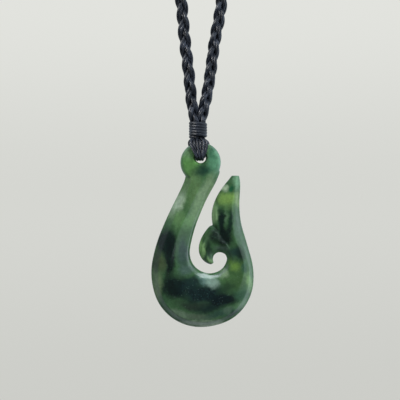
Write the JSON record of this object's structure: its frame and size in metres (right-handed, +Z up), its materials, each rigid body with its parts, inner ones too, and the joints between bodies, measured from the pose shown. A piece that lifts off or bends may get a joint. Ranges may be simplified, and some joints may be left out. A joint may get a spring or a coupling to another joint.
{
  "type": "hei matau pendant on a plaited neck cord",
  "caption": "Carved greenstone fish-hook pendant with a bored round head, a round-notched barb, a thread lashing and a plaited neck cord.",
  "frame": {"origin": "underside of the nape binding, at the inner top of the cord's loop, where the necklace rests on a neck or hangs from a peg", "axes": "+Z up, +X to the viewer's right, the front of the hook faces -Y; the loop lies in the XZ plane"},
  "size_m": [0.1008, 0.0066, 0.3803],
  "materials": {
    "greenstone": "polished",
    "waxed_thread": "waxed, slightly shiny"
  },
  "bodies": {
    "cord": {"thread_loop": "waxed_thread", "lashing": "waxed_thread", "nape_binding": "waxed_thread", "left_strand_1": "waxed_thread", "left_strand_2": "waxed_thread", "left_strand_3": "waxed_thread", "right_strand_1": "waxed_thread", "right_strand_2": "waxed_thread", "right_strand_3": "waxed_thread"},
    "hook": {"hook": "greenstone"}
  },
  "joints": [
    {"name": "hook_swing", "type": "hinge", "parent": "cord", "child": "hook", "pos_m": [0, 0, -0.33], "axis": [0, 1, 0], "range_deg": [-35, 35]}
  ]
}
